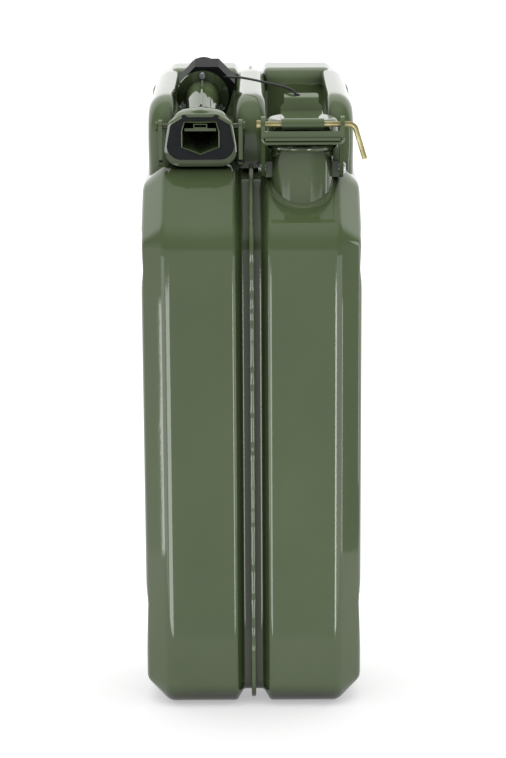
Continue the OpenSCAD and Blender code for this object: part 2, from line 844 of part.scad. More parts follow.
// Collar that narrows from the mouth to the tube, with a seat for the gasket
module spout_collar() {
    color(paint) spout_place() difference() {
        collar_solid();
        mouth_slab(-1, gasket_depth + 1, gap / 4, 0);
        hull() {
            translate([0, gasket_depth + 0.1, 0]) rotate([90, 0, 0])
                linear_extrude(height = 0.2) polygon(opening);
            axis_cylinder(collar_length - 4, tube_radius - spout_wall, 0.1, $fn = 32);
        }
        axis_cylinder(collar_length - 5, tube_radius - spout_wall, 10);
    }
}

module spout_gasket() {
    proud = 0.6;
    color(rubber) spout_place() difference() {
        mouth_slab(-proud, gasket_depth + proud, 0, 0);
        translate([0, gasket_depth + 1, 0]) rotate([90, 0, 0])
            linear_extrude(height = gasket_depth + proud + 2) polygon(opening);
    }
}

duct_length = 15;

// Shelf across the mouth that carries a flat air duct
module spout_air_duct() {
    shelf = [24, 2.2];
    duct = [10.6, 3.6];
    shelf_z = 5.6;
    color(paint) spout_place() translate([0, 0.5, shelf_z]) difference() {
        union() {
            translate([-shelf[0] / 2, 0, 0]) cube([shelf[0], duct_length, shelf[1]]);
            translate([-duct[0] / 2, 0, shelf[1]]) cube([duct[0], duct_length, duct[1]]);
        }
        translate([-duct[0] / 2 + 0.8, -1, shelf[1] + 0.8])
            cube([duct[0] - 1.6, duct_length + 2, duct[1] - 1.6]);
    }
}

rib = [1.6, 1.2];

// Straight tube with a welded rib along its top
module spout_tube() {
    color(paint) spout_place() difference() {
        union() {
            axis_cylinder(collar_length, tube_radius, flange_at - collar_length);
            translate([-rib[0] / 2, collar_length, tube_radius - 1])
                cube([rib[0], flange_at - collar_length - screw_rise - gap, rib[1] + 1]);
        }
        axis_cylinder(collar_length - 1, tube_radius - spout_wall, flange_at);
    }
}

screw_angles = [90, 327, 204];
screw_shank = 1.5;
screw_rise = 1.8;
screw_length = 12;
flange_back = flange_at + flange_thick;

// Places something on each screw of the flange, with its axis along the spout
module at_screws() {
    for (a = screw_angles)
        translate([screw_circle * cos(a), flange_at, screw_circle * sin(a)]) rotate([-90, 0, 0]) children();
}

module spout_flange() {
    color(paint) spout_place() difference() {
        axis_cylinder(flange_at, flange_diameter / 2, flange_thick);
        axis_cylinder(flange_at - 1, tube_radius - spout_wall, flange_thick + 2);
        at_screws() translate([0, 0, -1]) cylinder(r = screw_shank, h = flange_thick + 2);
    }
}

module flange_screws() {
    slot = [0.9, 3.6, 1];
    color(bright) spout_place() at_screws() difference() {
        union() {
            translate([0, 0, -screw_rise])
                cylinder(r1 = screw_head / 2 - 0.8, r2 = screw_head / 2, h = screw_rise);
            cylinder(r = screw_shank, h = screw_length);
        }
        for (turn = [0, 90])
            rotate([0, 0, turn]) translate([0, 0, -screw_rise]) cube(slot, center = true);
    }
}

housing_shift = 3.4;
housing_edge = [[9.5, 24], [22.5, 10], [18.5, -6], [13, -21]];
outlet_radius = outlet_diameter / 2;
outlet_wall = 1.8;
housing_back = flange_back + housing_length;

// Eight sided valve housing, set to the right so that it clears the bars
module valve_housing() {
    color(rubber) spout_place() difference() {
        translate([housing_shift, housing_back, 0]) rotate([90, 0, 0]) linear_extrude(height = housing_length)
            polygon(concat(housing_edge, [for (i = [3:-1:0]) [-housing_edge[i][0], housing_edge[i][1]]]));
        axis_cylinder(flange_at, outlet_radius, housing_length + 10);
        at_screws() cylinder(r = screw_shank, h = screw_length + 1);
    }
}

// Outlet pipe through the housing, with an end collar that keeps the sleeve on
module outlet_pipe() {
    lip = 2;
    color(rubber) spout_place() difference() {
        union() {
            axis_cylinder(flange_back, outlet_radius, housing_length + outlet_length);
            axis_cylinder(housing_back + outlet_length - lip, outlet_radius + lip, lip);
        }
        axis_cylinder(flange_back - 1, outlet_radius - outlet_wall, far);
    }
}

sleeve_back = housing_back + outlet_length - 2 - gap;
sleeve_front = sleeve_back - sleeve_length;
spring_room = 3;
spring_wire = 0.7;

// Sliding sleeve with finger grooves, hollow in front for its spring
module outlet_sleeve() {
    grooves = 3;
    pitch = 5;
    color(rubber) spout_place() difference() {
        axis_cylinder(sleeve_front, sleeve_diameter / 2, sleeve_length);
        axis_cylinder(sleeve_front - 1, outlet_radius + 0.1, far);
        axis_cylinder(sleeve_front - 1, outlet_radius + spring_room, sleeve_length - 3);
        for (k = [1:grooves])
            translate([0, sleeve_front + 2 + k * pitch, 0]) rotate([90, 0, 0])
                rotate_extrude() translate([sleeve_diameter / 2, 0]) circle(r = 1);
    }
}

spring_turns = 7;
spring_steps = 12;
spring_radius = outlet_radius + spring_room / 2;
spring_start = housing_back + spring_wire + 0.1;
spring_end = sleeve_front + sleeve_length - 4 - spring_wire - 0.1;
spring_line = [for (k = [0:spring_turns * spring_steps])
    let (a = 360 * k / spring_steps, t = k / (spring_turns * spring_steps))
    [spring_radius * cos(a), spring_start + (spring_end - spring_start) * t, spring_radius * sin(a)]];

// Rings of a round tube along a line of points
function tube_rings(line, radius, sides) =
    let (last = len(line) - 1)
    [for (i = [0:last])
        let (
            t = unit(line[min(i + 1, last)] - line[max(i - 1, 0)]),
            u = unit(cross(t, abs(t[2]) < 0.9 ? [0, 0, 1] : [1, 0, 0])),
            w = cross(t, u)
        )
        [for (j = [0:sides - 1])
            line[i] + radius * (cos(360 * j / sides) * u + sin(360 * j / sides) * w)]];

// Coil that pushes the sleeve back over the outlet
module sleeve_spring() {
    color(bright) spout_place() skin(tube_rings(spring_line, spring_wire, 6));
}

link_pivot = [6.5, 7.5];
link_in = 29.2;
link_pin_radius = link_pin / 2;
pivot_y = spout_y + link_pivot[0] * cos(spout_tilt) - link_pivot[1] * sin(spout_tilt);
pivot_z = spout_z + link_pivot[0] * sin(spout_tilt) + link_pivot[1] * cos(spout_tilt);

// Pins on both sides of the collar that the links hang on
module link_pins() {
    head = 1.6;
    color(paint) spout_place() difference() {
        for (side = [0, 1])
            mirror([side, 0, 0]) translate([mouth_high[0], link_pivot[0], link_pivot[1]]) rotate([0, 90, 0]) {
                cylinder(r = link_pin_radius, h = link_in + link_sheet + 2 * gap - mouth_high[0]);
                translate([0, 0, link_in + link_sheet + gap - mouth_high[0]])
                    cylinder(r = link_pin_radius + 1.4, h = head);
            }
        collar_solid();
    }
}

// Link that hangs from its pin and ends in a hook open to the front
module link() {
    eye = 5.2;
    tip = 5;
    slot = 4.6;
    foot = [pivot_y, pivot_z - link_length];
    difference() {
        translate([link_in, 0, 0])
            arm_plate([pivot_y, pivot_z], foot, eye, tip, link_sheet);
        translate([0, pivot_y, pivot_z]) rotate([0, 90, 0])
            cylinder(r = link_pin_radius + running_fit, h = far);
        translate([0, foot[0], foot[1]]) rotate([0, 90, 0]) cylinder(d = slot, h = far);
        translate([0, foot[0] - far, foot[1] - slot / 4]) cube([far, far, slot / 2]);
    }
}

module left_link() {
    color(paint) translate([spout_x, 0, 0]) mirror([1, 0, 0]) link();
}

module right_link() {
    color(paint) translate([spout_x, 0, 0]) link();
}

// Route of the tie cord as drawn: from the housing's face over the centre bar and down through the tab's lip
cord_drawn = [
    [-21.5, -14.2, 476.2], [-20, -20, 477], [-17, -27, 477.8], [-13, -34, 478.5], [-8, -41, 479],
    [-2, -50, 479], [4, -58, 478.7], [10, -66.5, 478.3], [16, -74.3, 477.8], [22, -81, 477.1],
    [27.4, -86.7, 476.2], [31.6, -91, 474.9], [34.4, -93.8, 472.9], [35.6, -94.8, 470.4], [36.1, -95, 467.9],
    [36.4, -95.1, 465.7], [36.5, -95, 463.6], [36.5, -94.8, 461.6]
];
cord_spread = 10;
cord_exit = [17, flange_back - gap, 15.4];
cord_from = [
    spout_x + cord_exit[0],
    spout_y + cord_exit[1] * cos(spout_tilt) - cord_exit[2] * sin(spout_tilt),
    spout_z + cord_exit[1] * sin(spout_tilt) + cord_exit[2] * cos(spout_tilt)
];
cord_to = [
    neck_x - tab_hole_side,
    tab_top_y + tab_lip / 2 * cos(lip_slope) - lever_sheet / 2 * sin(lip_slope),
    tab_top_z + tab_lip / 2 * sin(lip_slope) + lever_sheet / 2 * cos(lip_slope)
];
cord_drawn_from = [-21.5, -14.25, 476.08];
cord_drawn_to = [35.6, -94.69, 470.25];

// The drawn route, moved with the housing at one end and with the tab at the other
cord_route = [for (i = [0:len(cord_drawn) - 1])
    let (t = min(i / cord_spread, 1))
    cord_drawn[i] + (1 - t) * (cord_from - cord_drawn_from) + t * (cord_to - cord_drawn_to)];

module tie_cord() {
    color(rubber) skin(tube_rings(cord_route, cord_diameter / 2, 8));
}

left_shell();
right_shell();
seam_weld();
left_bar();
centre_bar();
right_bar();
filler_neck();
neck_weld();
air_pipe();
neck_lugs();
trunnion_rivets();
bail_frame();
bail_wire();
cap_lever();
cap_lid();
cap_gasket();
cap_rivet();
lock_pin();
spout_collar();
spout_gasket();
spout_air_duct();
spout_tube();
spout_flange();
flange_screws();
valve_housing();
outlet_pipe();
outlet_sleeve();
sleeve_spring();
link_pins();
left_link();
right_link();
tie_cord();
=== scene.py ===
"""Looks of a steel fuel can: gloss green paint, smooth shells and bars, a tie cord and a white studio."""

import json
import math

import bmesh
import bpy
import numpy as np
from mathutils import Euler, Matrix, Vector
from mathutils.geometry import delaunay_2d_cdt


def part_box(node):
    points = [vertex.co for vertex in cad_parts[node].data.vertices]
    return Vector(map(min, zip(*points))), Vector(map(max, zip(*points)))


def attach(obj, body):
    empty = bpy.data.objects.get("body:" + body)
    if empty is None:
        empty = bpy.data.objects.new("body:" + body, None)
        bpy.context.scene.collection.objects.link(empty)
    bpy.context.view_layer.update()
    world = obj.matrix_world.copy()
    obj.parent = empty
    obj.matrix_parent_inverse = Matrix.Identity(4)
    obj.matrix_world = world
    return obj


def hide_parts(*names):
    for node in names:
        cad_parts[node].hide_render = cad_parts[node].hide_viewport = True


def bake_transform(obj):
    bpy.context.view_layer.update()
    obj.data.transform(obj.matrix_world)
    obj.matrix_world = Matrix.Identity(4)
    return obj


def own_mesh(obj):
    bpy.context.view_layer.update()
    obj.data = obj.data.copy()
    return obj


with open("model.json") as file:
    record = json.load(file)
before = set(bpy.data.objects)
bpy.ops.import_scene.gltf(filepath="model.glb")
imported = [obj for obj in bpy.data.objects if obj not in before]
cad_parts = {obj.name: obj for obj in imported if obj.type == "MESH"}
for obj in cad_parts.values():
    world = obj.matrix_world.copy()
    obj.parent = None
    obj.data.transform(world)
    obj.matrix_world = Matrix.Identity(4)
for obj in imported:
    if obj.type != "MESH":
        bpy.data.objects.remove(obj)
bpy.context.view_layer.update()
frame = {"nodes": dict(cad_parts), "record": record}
MM = 0.001

# Driving sizes of the body in millimetres, read from the frame
shell_low, shell_high = (np.array(corner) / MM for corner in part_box("right_shell"))
neck_low, neck_high = (np.array(corner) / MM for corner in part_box("filler_neck"))
bar_high = np.array(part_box("right_bar")[1]) / MM
HALF_WIDTH = shell_high[0]
FRONT, BACK = shell_low[1], shell_high[1]
HEIGHT = shell_high[2]
NECK = (neck_low[:2] + neck_high[:2]) / 2

# Places of the body's corners and the shapes of its edges, in millimetres
DECK = 421
SHOULDER = 375
SHOULDER_RUN = 63
CHAMBER = BACK - 76
CORNERS = np.array([
    (FRONT, 0), (BACK, 0), (BACK, HEIGHT), (CHAMBER, HEIGHT),
    (CHAMBER, DECK), (FRONT + SHOULDER_RUN, DECK), (FRONT, SHOULDER),
])
RADII = (22, 22, 26, 14, 12, 40, 30)
LEAST_RADIUS = 3
ARC_STEPS = 12
OUTLINE_SPACING = 5.0
EDGE_SLANT = 18
EDGE_RADIUS = 10
EDGE_STEPS = 8
CHANNEL_DEPTH = 9
CHANNEL_FLOOR = 6
CHANNEL_SLOPE = 60
CHANNEL_LOW_RADIUS = 3
CHANNEL_HIGH_RADIUS = 4
CHANNEL_STEPS = 6
FLANGE_DROP = 3.5
FLANGE_SHEET = 1.2
BEAD_RISE = 1.1


def unit(vector):
    return vector / np.linalg.norm(vector)


def left_of(vector):
    return np.array((-vector[1], vector[0]))


def smooth_step(low, high, value):
    t = np.clip((value - low) / (high - low), 0, 1)
    return t * t * (3 - 2 * t)


def corner_arc(before, at, after, radius, inset):
    """Points that round one corner of the side view after the outline has moved in by inset."""
    into, out = unit(at - before), unit(after - at)
    bend = into[0] * out[1] - into[1] * out[0]
    turn = math.atan2(bend, into @ out)
    side = math.copysign(1, bend)
    miter = (left_of(into) + left_of(out)) / (1 + left_of(into) @ left_of(out))
    r = max(radius - inset, LEAST_RADIUS) if side > 0 else radius + inset
    centre = at + miter * (inset + side * r)
    start = math.atan2(*(-side * left_of(into))[::-1])
    angles = start + turn * np.linspace(0, 1, ARC_STEPS + 1)
    return centre + r * np.stack((np.cos(angles), np.sin(angles)), 1)


def outline(inset, spacing=OUTLINE_SPACING):
    """Side view of the can, moved in by inset, with the straight stretches divided evenly."""
    count = len(CORNERS)
    arcs = [corner_arc(CORNERS[i - 1], CORNERS[i], CORNERS[(i + 1) % count], RADII[i], inset)
            for i in range(count)]
    points = []
    for i, arc in enumerate(arcs):
        points.extend(arc)
        steps = max(2, int(np.linalg.norm(CORNERS[(i + 1) % count] - CORNERS[i]) / spacing))
        first, last = arc[-1], arcs[(i + 1) % count][0]
        points.extend(first + (last - first) * k / steps for k in range(1, steps))
    return np.array(points)


def section_arc(x, inset, radius, start, end, steps):
    """Arc of a half's cross section, between two angles in degrees."""
    angles = np.radians(np.linspace(start, end, steps + 1))
    return [(x + radius * math.cos(a), inset + radius * math.sin(a)) for a in angles]


SLANT_TANGENT = EDGE_RADIUS * math.tan(math.radians(45 / 2))
SLANT_START = HALF_WIDTH - EDGE_SLANT - SLANT_TANGENT
SLANT_END = EDGE_SLANT + SLANT_TANGENT
CHANNEL_RUN = math.radians(CHANNEL_SLOPE)
CHANNEL_TOP = (
    CHANNEL_FLOOR + (CHANNEL_LOW_RADIUS + CHANNEL_HIGH_RADIUS) * math.sin(CHANNEL_RUN)
    + (CHANNEL_DEPTH - (CHANNEL_LOW_RADIUS + CHANNEL_HIGH_RADIUS) * (1 - math.cos(CHANNEL_RUN)))
    / math.tan(CHANNEL_RUN))


def half_stations():
    """Cross section of a half, as pairs of distance from the seam and inset."""
    flange = [(0, FLANGE_DROP), (FLANGE_SHEET, FLANGE_DROP), (FLANGE_SHEET, CHANNEL_DEPTH)]
    low = section_arc(CHANNEL_FLOOR, CHANNEL_DEPTH - CHANNEL_LOW_RADIUS, CHANNEL_LOW_RADIUS,
                      90, 90 - CHANNEL_SLOPE, CHANNEL_STEPS)
    high = section_arc(CHANNEL_TOP, CHANNEL_HIGH_RADIUS, CHANNEL_HIGH_RADIUS,
                       270 - CHANNEL_SLOPE, 270, CHANNEL_STEPS)
    slant = section_arc(SLANT_START, EDGE_RADIUS, EDGE_RADIUS, 270, 315, EDGE_STEPS)
    side = section_arc(HALF_WIDTH - EDGE_RADIUS, SLANT_END, EDGE_RADIUS, 315, 360, EDGE_STEPS)
    return flange + low + high + slant + side


# Pressed cross on each side panel
CROSS_DEPTH = 4.5
CROSS_FLOOR = 11
CROSS_SLOPE = 10
CROSS_CENTRE = DECK / 2 + 4
CROSS_ANGLE = math.atan2(DECK / 3, BACK - 27)
CROSS_FADE = (150, 240)


def cross_depth(y, z):
    """Depth of the pressed cross below the side panel."""
    depth = np.zeros_like(y)
    for side in (-1, 1):
        along = y * math.cos(CROSS_ANGLE) + side * (z - CROSS_CENTRE) * math.sin(CROSS_ANGLE)
        across = np.abs(side * (z - CROSS_CENTRE) * math.cos(CROSS_ANGLE) - y * math.sin(CROSS_ANGLE))
        arm = 1 - smooth_step(CROSS_FLOOR, CROSS_FLOOR + CROSS_SLOPE, across)
        depth = np.maximum(depth, arm * (1 - smooth_step(*CROSS_FADE, np.abs(along))))
    return CROSS_DEPTH * depth


def new_object(name, vertices, faces, sharp_angle=40):
    """Smooth shaded mesh object from points in millimetres."""
    mesh = bpy.data.meshes.new(name)
    mesh.from_pydata([tuple(v) for v in np.asarray(vertices) * MM], [], faces)
    mesh.validate()
    mesh.shade_smooth()
    mesh.set_sharp_from_angle(angle=math.radians(sharp_angle))
    piece = bpy.data.objects.new(name, mesh)
    bpy.context.collection.objects.link(piece)
    return piece


def band_faces(near, far, count):
    """Quads between two rings, given by the indices of their first points."""
    return [(near + j, near + (j + 1) % count, far + (j + 1) % count, far + j) for j in range(count)]


def ring_faces(rings, count):
    """Quads between rings of equal count, each with the next."""
    return [face for i in range(rings - 1) for face in band_faces(i * count, (i + 1) * count, count)]


def loop_faces(rings, count):
    """Quads between rings of equal count, and from the last ring to the first."""
    return ring_faces(rings, count) + band_faces((rings - 1) * count, 0, count)


PANEL_STEP = 3.5
PANEL_CLEARANCE = 0.7 * PANEL_STEP
TRIANGLES_INSIDE = 1
MERGE_DISTANCE = 1e-4


def panel_points(edge):
    """Grid of points inside the side panel's edge, as distances along the can and heights."""
    low, high = edge.min(0) + PANEL_STEP, edge.max(0) - PANEL_STEP
    ys, zs = np.meshgrid(np.arange(low[0], high[0], PANEL_STEP), np.arange(low[1], high[1], PANEL_STEP))
    grid = np.stack((ys.ravel(), zs.ravel()), 1)
    inside = np.zeros(len(grid), bool)
    after = np.roll(edge, -1, 0)
    for a, b in zip(edge, after):
        crosses = (a[1] > grid[:, 1]) != (b[1] > grid[:, 1])
        if not crosses.any():
            continue
        reach = a[0] + (grid[crosses, 1] - a[1]) * (b[0] - a[0]) / (b[1] - a[1])
        inside[crosses] ^= grid[crosses, 0] < reach
    grid = grid[inside]
    distance = np.min(np.linalg.norm(grid[:, None, :] - edge[None, ::2, :], axis=2), axis=1)
    return grid[distance > PANEL_CLEARANCE]


def shell_mesh(name, side):
    """One pressed half with its channel, slanted edges and crossed side panel."""
    stations = half_stations()
    rings = [outline(inset) for _, inset in stations]
    count = len(rings[0])
    points = [np.column_stack((np.full(count, x), ring)) for (x, _), ring in zip(stations, rings)]
    faces = ring_faces(len(stations), count)
    edge = rings[-1]
    inner = panel_points(edge)
    plan = [Vector(p) for p in np.vstack((edge, inner))]
    borders = [(i, (i + 1) % count) for i in range(count)]
    _, _, triangles, origin, _, _ = delaunay_2d_cdt(
        plan, borders, [], TRIANGLES_INSIDE, MERGE_DISTANCE)
    first = (len(stations) - 1) * count
    total = len(stations) * count
    index = {}
    for i, sources in enumerate(origin):
        source = sources[0]
        index[i] = first + source if source < count else total + source - count
    points.append(np.column_stack((np.full(len(inner), HALF_WIDTH), inner)))
    vertices = np.vstack(points)
    vertices[:, 0] = np.minimum(vertices[:, 0], HALF_WIDTH - cross_depth(vertices[:, 1], vertices[:, 2]))
    vertices[:, 0] *= side
    faces += [tuple(index[i] for i in triangle) for triangle in triangles]
    if side < 0:
        faces = [face[::-1] for face in faces]
    return new_object(name, vertices, faces)


HOLE_SIDES = 96
HOLE_DEPTH = 160
HOLE_MARGIN = 5


def cut_round_hole(piece, centre, radius):
    """Cuts an upright round hole through the top of a piece."""
    bm = bmesh.new()
    bmesh.ops.create_cone(bm, segments=HOLE_SIDES, cap_ends=True, radius1=radius * MM, radius2=radius * MM,
                          depth=HOLE_DEPTH * MM)
    cutter_mesh = bpy.data.meshes.new("hole")
    bm.to_mesh(cutter_mesh)
    bm.free()
    cutter = bpy.data.objects.new("hole", cutter_mesh)
    cutter.location = Vector((centre[0], centre[1], DECK)) * MM
    bpy.context.collection.objects.link(cutter)
    modifier = piece.modifiers.new("hole", "BOOLEAN")
    modifier.object = cutter
    modifier.operation = "DIFFERENCE"
    modifier.solver = "FAST"
    bpy.context.view_layer.update()
    shaped = bpy.data.meshes.new_from_object(piece.evaluated_get(bpy.context.evaluated_depsgraph_get()))
    piece.modifiers.remove(modifier)
    piece.data = shaped
    bpy.data.objects.remove(cutter)


# Materials
def new_material(name):
    material = bpy.data.materials.new(name)
    material.use_nodes = True
    tree = material.node_tree
    return material, tree.nodes, tree.links, tree.nodes["Principled BSDF"]


def add_noise(nodes, links, coords, scale, detail):
    noise = nodes.new("ShaderNodeTexNoise")
    noise.inputs["Scale"].default_value = scale
    noise.inputs["Detail"].default_value = detail
    links.new(coords.outputs["Object"], noise.inputs["Vector"])
    return noise


def add_ramp(nodes, links, source, stops):
    ramp = nodes.new("ShaderNodeValToRGB")
    elements = ramp.color_ramp.elements
    for element, (place, colour) in zip(elements, stops):
        element.position = place
        element.color = (*colour, 1)
    links.new(source, ramp.inputs["Fac"])
    return ramp


def add_bump(nodes, links, height, strength, distance, normal=None):
    bump = nodes.new("ShaderNodeBump")
    bump.inputs["Strength"].default_value = strength
    bump.inputs["Distance"].default_value = distance
    links.new(height, bump.inputs["Height"])
    if normal is not None:
        links.new(normal, bump.inputs["Normal"])
    return bump.outputs["Normal"]


def rough_range(nodes, links, source, low, high):
    spread = nodes.new("ShaderNodeMapRange")
    spread.inputs["To Min"].default_value = low
    spread.inputs["To Max"].default_value = high
    links.new(source, spread.inputs["Value"])
    return spread.outputs["Result"]


# Paint: tones, how far and how strongly painted shade darkens it in crevices, and the scale and detail of
# its noises
PAINT_TONES = ((0.30, (0.066, 0.095, 0.040)), (0.72, (0.082, 0.113, 0.050)))
PAINT_PATCHES = (9, 4)
PAINTED_SHADE_REACH = 0.02
PAINTED_SHADE_POWER = 1.4
PEEL = (420, 2)
PEEL_ROUGHNESS = (0.035, 0.075)
PEEL_BUMP = (0.03, 0.0004)
WAVES = (16, 1.5)
WAVE_BUMP = (0.06, 0.004)
PAINT_SHINE = 0.55


def paint_material():
    """Thick gloss paint over pressed sheet: slight waves, orange peel, patches of tone, and painted shade
    that darkens the colour in crevices.
    """
    material, nodes, links, shader = new_material("green_paint")
    coords = nodes.new("ShaderNodeTexCoord")
    patches = add_noise(nodes, links, coords, *PAINT_PATCHES)
    tone = add_ramp(nodes, links, patches.outputs["Fac"], PAINT_TONES)
    # Painted shade: ambient occlusion darkens the base colour in crevices such as the channel and the deck
    painted_shade_ao = nodes.new("ShaderNodeAmbientOcclusion")
    painted_shade_ao.inputs["Distance"].default_value = PAINTED_SHADE_REACH
    shade = nodes.new("ShaderNodeMath")
    shade.operation = "POWER"
    shade.inputs[1].default_value = PAINTED_SHADE_POWER
    links.new(painted_shade_ao.outputs["AO"], shade.inputs[0])
    depth = nodes.new("ShaderNodeMix")
    depth.data_type = "RGBA"
    depth.blend_type = "MULTIPLY"
    depth.inputs["Factor"].default_value = 1
    links.new(tone.outputs["Color"], depth.inputs["A"])
    links.new(shade.outputs["Value"], depth.inputs["B"])
    links.new(depth.outputs["Result"], shader.inputs["Base Color"])
    peel = add_noise(nodes, links, coords, *PEEL)
    links.new(rough_range(nodes, links, peel.outputs["Fac"], *PEEL_ROUGHNESS), shader.inputs["Roughness"])
    waves = add_noise(nodes, links, coords, *WAVES)
    wavy = add_bump(nodes, links, waves.outputs["Fac"], *WAVE_BUMP)
    links.new(add_bump(nodes, links, peel.outputs["Fac"], *PEEL_BUMP, wavy), shader.inputs["Normal"])
    shader.inputs["Specular IOR Level"].default_value = PAINT_SHINE
    return material


def grained_material(name, clouds, stops, grain, roughness, bump, shine=0.5, metallic=0):
    """Finish with clouded tones and a fine grain; noises are pairs of scale and detail."""
    material, nodes, links, shader = new_material(name)
    coords = nodes.new("ShaderNodeTexCoord")
    tone = add_ramp(nodes, links, add_noise(nodes, links, coords, *clouds).outputs["Fac"], stops)
    links.new(tone.outputs["Color"], shader.inputs["Base Color"])
    fine = add_noise(nodes, links, coords, *grain).outputs["Fac"]
    links.new(rough_range(nodes, links, fine, *roughness), shader.inputs["Roughness"])
    links.new(add_bump(nodes, links, fine, *bump), shader.inputs["Normal"])
    shader.inputs["Specular IOR Level"].default_value = shine
    shader.inputs["Metallic"].default_value = metallic
    return material


METAL = {"clouds": (130, 4), "grain": (1100, 3), "bump": (0.08, 0.0002), "metallic": 1}
MATERIALS = {
    "green_paint": paint_material(),
    "black_rubber": grained_material(
        "black_rubber", (900, 4), ((0.3, (0.008, 0.009, 0.011)), (0.7, (0.015, 0.016, 0.019))),
        (900, 4), (0.5, 0.68), (0.15, 0.0003), shine=0.12),
    "black_housing": grained_material(
        "black_housing", (60, 3), ((0.3, (0.005, 0.005, 0.006)), (0.7, (0.010, 0.010, 0.011))),
        (1400, 3), (0.42, 0.56), (0.12, 0.0002), shine=0.08),
    "black_cord": grained_material(
        "black_cord", (1500, 3), ((0.3, (0.006, 0.006, 0.007)), (0.7, (0.016, 0.016, 0.018))),
        (1500, 3), (0.38, 0.52), (0.2, 0.0002)),
    "yellow_zinc": grained_material(
        "yellow_zinc", stops=((0.35, (0.36, 0.32, 0.15)), (0.68, (0.52, 0.47, 0.26))),
        roughness=(0.42, 0.58), **METAL),
    "bright_steel": grained_material(
        "bright_steel", stops=((0.35, (0.36, 0.37, 0.39)), (0.68, (0.56, 0.57, 0.59))),
        roughness=(0.2, 0.36), **METAL),
}


def dress(piece, slot):
    piece.data.materials.clear()
    piece.data.materials.append(MATERIALS[slot])
    return piece


def put_on(piece, slot, body, *nodes):
    """Gives a new piece its finish and its body, and hides the solids it stands for."""
    dress(piece, slot)
    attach(piece, body)
    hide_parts(*nodes)


# Shells
for name, side in (("left_shell", -1), ("right_shell", 1)):
    shell = shell_mesh(name + "_pressed", side)
    if side > 0:
        cut_round_hole(shell, NECK, (neck_high[0] - neck_low[0]) / 2 - HOLE_MARGIN)
    put_on(shell, "green_paint", "can", name)


# Carrying bars
BAR_HEIGHT = 18
BAR_Z = HEIGHT - 1 - BAR_HEIGHT / 2
BAR_BEND = 14 + BAR_HEIGHT / 2
BAR_LOW_RADIUS = 3
LEG_Y = NECK[1] + 40
CENTRE_FLARE = 9
SIDE_FLARE = 7
FLARE_TOP = BAR_Z - 3
FLARE_POWER = 1.3
FOOT_THICK = 5
FOOT_SINK = 1
FOOT_RISE = 16
SIDE_FOOT = DECK - 28
SIDE_WIDTH = 20
SIDE_RADII = (4, 14)
CENTRE_FOOT = DECK - 6
CENTRE_SECTION = (-12, 12, 9, 9)
BAR_END = CHAMBER + 11
BAR_TAIL = (22, 12)
LEG_STEPS = 9
BEND_STEPS = 19
TOP_STEPS = 12
SECTION_STEPS = 9
BAR_SHARP = 60


def widening(z):
    """Share of a bar's flare at a height: all of it on the deck, none at the top of the bend."""
    return float(np.clip((FLARE_TOP - z) / (FLARE_TOP - DECK), 0, 1)) ** FLARE_POWER


def bar_path(foot_z):
    """Stations of a bar's middle line: place, height, direction, widening and thickening."""
    stations = [(LEG_Y, foot_z, 90, 1, 1)]
    for t in np.linspace(0, 1, LEG_STEPS):
        z = DECK - FOOT_SINK + FOOT_RISE * t
        stations.append((LEG_Y, z, 90, widening(z), (1 - t) ** 2))
    for a in np.linspace(math.pi, math.pi / 2, BEND_STEPS):
        z = BAR_Z - BAR_BEND * (1 - math.sin(a))
        stations.append((LEG_Y + BAR_BEND * (1 + math.cos(a)), z, math.degrees(a) - 90, widening(z), 0))
    stations += [(y, BAR_Z, 0, 0, 0) for y in np.linspace(stations[-1][0], BAR_END, TOP_STEPS)[1:]]
    stations.append((BAR_END + BAR_TAIL[0], BAR_Z - BAR_TAIL[1], 0, 0, 0))
    return stations


def bar_section(start, end, radius_start, radius_end):
    """Rounded section of a bar; the two upper corners have their own radii."""
    half = BAR_HEIGHT / 2
    low = BAR_LOW_RADIUS
    turn = np.linspace(0, math.pi / 2, SECTION_STEPS)
    rising, falling = 1 - np.cos(turn), 1 - np.sin(turn)
    corners = ((start + radius_start * rising, half - radius_start * falling),
               (end - radius_end * falling, half - radius_end * rising),
               (end - low * rising, low * falling - half),
               (start + low * falling, low * rising - half))
    return np.vstack([np.column_stack(corner) for corner in corners])


def bar_mesh(name, shape, foot_z, flare_start, flare_end):
    """Bar swept along its path; the flares widen its foot on each side."""
    low, high = shape[:, 0].min(), shape[:, 0].max()
    points = []
    path = bar_path(foot_z)
    for y, z, direction, wide, thick in path:
        lean = math.radians(direction)
        for x, up in shape:
            side = smooth_step(low, high, x)
            spread = wide * (side * flare_end - (1 - side) * flare_start)
            reach = up * (1 + thick * FOOT_THICK / BAR_HEIGHT)
            points.append((x + spread, y - reach * math.sin(lean), z + reach * math.cos(lean)))
    return new_object(name, points, ring_faces(len(path), len(shape)), BAR_SHARP)


side_section = bar_section(bar_high[0] - SIDE_WIDTH, bar_high[0], *SIDE_RADII)
for name, section, foot, flares in (
        ("right_bar", side_section, SIDE_FOOT, (SIDE_FLARE, 0)),
        ("left_bar", side_section[::-1] * (-1, 1), SIDE_FOOT, (0, SIDE_FLARE)),
        ("centre_bar", bar_section(*CENTRE_SECTION), CENTRE_FOOT, (CENTRE_FLARE, CENTRE_FLARE))):
    put_on(bar_mesh(name + "_smooth", section, foot, *flares), "green_paint", "can", name)


# Weld bead on the seam, uneven along its length
BEAD_WIDTH = 3.6
BEAD_SPACING = 1.6
BEAD_STEPS = 9
BEAD_SHARP = 80
BEAD_LEVEL = 0.75
RIPPLE = 0.25
RIPPLE_WAVES = (2.3, 9.7)
RIPPLE_SHIFT = 0.6
LUMP = 0.3
LUMP_WAVE = 7.1
LUMP_POWER = 6
CRUMPLE = (FRONT + SHOULDER_RUN, DECK)
CRUMPLE_REACH = 60
CRUMPLE_RISE = 0.9
CRUMPLE_WAVE = 3.1
CRUMPLE_SHIFT = 1


